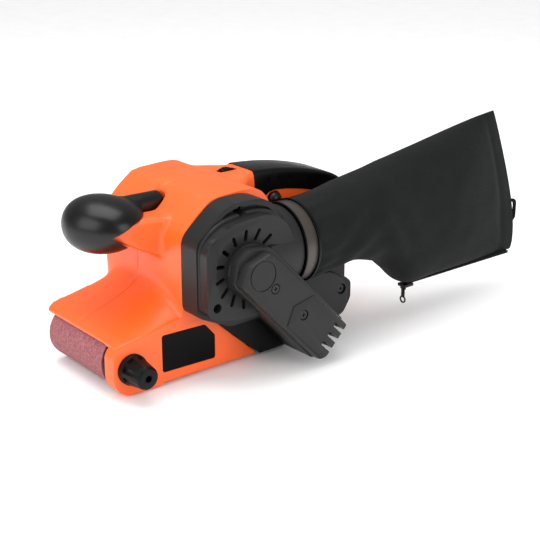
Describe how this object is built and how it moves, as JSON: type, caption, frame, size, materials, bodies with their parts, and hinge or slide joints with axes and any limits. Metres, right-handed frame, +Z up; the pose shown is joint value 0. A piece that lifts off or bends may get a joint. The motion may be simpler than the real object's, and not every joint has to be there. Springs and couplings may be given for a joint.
{
  "type": "handheld belt sander",
  "caption": "Handheld electric belt sander with a front knob, a rear loop handle with trigger, side drive covers, a tracking knob and a rear cloth dust bag.",
  "frame": {"origin": "centre of the sanding belt's flat contact face, on the work surface", "axes": "+X towards the drive side with the belt covers, -Y towards the nose and front roller, +Y towards the handle and bag, +Z up"},
  "size_m": [0.174, 0.425, 0.16],
  "materials": {
    "orange_housing": "smooth orange moulding with a soft sheen",
    "charcoal_cover": "finely grained charcoal moulding",
    "black_plastic": "fine black moulding",
    "grip_black": "glossy black moulding",
    "abrasive": "aluminium oxide grit on cloth",
    "graphite_cork": "graphite cloth on cork",
    "platen_steel": "plain sheet steel",
    "cast_aluminium": "die cast",
    "steel": "ground steel",
    "fastener_steel": "dark plated steel",
    "spring_steel": "drawn wire",
    "roller_rubber": "matt black rubber",
    "motor_iron": "laminated iron",
    "copper": "enamelled copper",
    "brass": "plain brass",
    "carbon": "pressed carbon",
    "bag_fabric": "close woven dark polyester",
    "adapter_grey": "grey-brown moulding",
    "elastic": "elastic band under cloth"
  },
  "bodies": {
    "machine": {"base_frame": "cast_aluminium", "platen": "platen_steel", "platen_pad": "graphite_cork", "sanding_belt": "abrasive", "platen_screws": "fastener_steel", "frame_screws": "fastener_steel", "tension_spring": "spring_steel", "lever_pin": "steel", "drive_bearings": "steel", "stator_core": "motor_iron", "field_coils": "copper", "motor_bearings": "steel", "fan_baffle": "black_plastic", "bearing_bracket": "cast_aluminium", "brush_holders": "brass", "carbon_brushes": "carbon", "housing_right": "orange_housing", "housing_left": "orange_housing", "motor_end_cap": "charcoal_cover", "name_panel": "black_plastic", "handle_grip": "grip_black", "front_grip": "grip_black", "drive_case": "charcoal_cover", "motor_side_cover": "charcoal_cover", "drive_belt_cover": "charcoal_cover", "dust_duct": "charcoal_cover", "toothed_belt": "roller_rubber", "trigger_pin": "steel", "trigger_spring": "spring_steel", "switch_body": "black_plastic", "speed_module": "black_plastic", "dial_potentiometer": "black_plastic", "cord_inlet": "black_plastic", "cover_screws": "fastener_steel"},
    "armature": {"armature_core": "motor_iron", "armature_windings": "copper", "commutator": "copper", "motor_shaft": "steel", "cooling_fan": "black_plastic", "motor_pulley": "steel"},
    "drive_roller": {"drive_roller_core": "cast_aluminium", "drive_roller_sleeve": "roller_rubber", "drive_shaft": "steel", "driven_pulley": "steel"},
    "slide_carriage": {"tension_slide": "cast_aluminium"},
    "yoke": {"roller_yoke": "cast_aluminium", "front_axle": "steel"},
    "front_roller": {"front_roller": "cast_aluminium", "front_roller_bearings": "steel"},
    "lever": {"tension_lever": "steel"},
    "tracking": {"tracking_knob": "charcoal_cover", "tracking_screw": "steel"},
    "trigger": {"trigger": "black_plastic"},
    "lock": {"lock_button": "black_plastic"},
    "dial": {"speed_dial": "black_plastic"},
    "bag": {"bag_adapter": "adapter_grey", "bag_hoop": "elastic", "dust_bag": "bag_fabric"},
    "zip_slider": {"zip_slider": "fastener_steel"},
    "zip_puller": {"zip_puller": "fastener_steel"}
  },
  "joints": [
    {"name": "armature_spin", "type": "hinge", "parent": "machine", "child": "armature", "pos_m": [0, 0.00926, 0.089], "axis": [1, 0, 0], "continuous": true},
    {"name": "drive_spin", "type": "hinge", "parent": "machine", "child": "drive_roller", "pos_m": [0, 0.06849, 0.02215], "axis": [1, 0, 0], "continuous": true},
    {"name": "tension_lever_swing", "type": "hinge", "parent": "machine", "child": "lever", "pos_m": [-0.0318, 0.00126, 0.022], "axis": [0, 0, 1], "range_deg": [0, 75]},
    {"name": "tension_slide_travel", "type": "slide", "parent": "machine", "child": "slide_carriage", "axis": [0, 1, 0], "range_m": [0, 0.006], "deforming": ["tension_spring", "sanding_belt"]},
    {"name": "tracking_turn", "type": "hinge", "parent": "machine", "child": "tracking", "pos_m": [0.057, -0.07674, 0.0225], "axis": [1, 0, 0], "range_deg": [-180, 180]},
    {"name": "yoke_pivot", "type": "hinge", "parent": "slide_carriage", "child": "yoke", "pos_m": [0, -0.04074, 0.022], "axis": [0, 0, 1], "range_deg": [-1.2, 1.2]},
    {"name": "front_roller_spin", "type": "hinge", "parent": "yoke", "child": "front_roller", "pos_m": [0, -0.06849, 0.02215], "axis": [1, 0, 0], "continuous": true},
    {"name": "trigger_pull", "type": "hinge", "parent": "machine", "child": "trigger", "pos_m": [0, 0.11326, 0.1045], "axis": [-1, 0, 0], "range_deg": [0, 7], "stiffness_Nm_per_rad": 0.35, "springref_deg": -6.88, "deforming": ["trigger_spring"]},
    {"name": "lock_push", "type": "slide", "parent": "machine", "child": "lock", "axis": [-1, 0, 0], "range_m": [0, 0.003], "stiffness_N_per_m": 300, "springref_m": -0.002},
    {"name": "dial_turn", "type": "hinge", "parent": "machine", "child": "dial", "pos_m": [0, 0.05426, 0.127], "axis": [1, 0, 0], "range_deg": [-150, 150]},
    {"name": "bag_pull_off", "type": "slide", "parent": "machine", "child": "bag", "axis": [0, 1, 0], "range_m": [0, 0.04]},
    {"name": "zip_slide", "type": "slide", "parent": "bag", "child": "zip_slider", "axis": [0, 1, 0], "range_m": [0, 0.125]},
    {"name": "puller_swing", "type": "hinge", "parent": "zip_slider", "child": "zip_puller", "pos_m": [0.059, 0.19746, 0.0198], "axis": [1, 0, 0], "range_deg": [-60, 60]}
  ],
  "couplings": [
    {"joint": "drive_spin", "follows": "armature_spin", "ratio": 0.7},
    {"joint": "front_roller_spin", "follows": "armature_spin", "ratio": 0.7},
    {"joint": "tension_lever_swing", "follows": "tension_slide_travel", "rad_per_m": 218},
    {"joint": "yoke_pivot", "follows": "tracking_turn", "ratio": 0.006666}
  ]
}
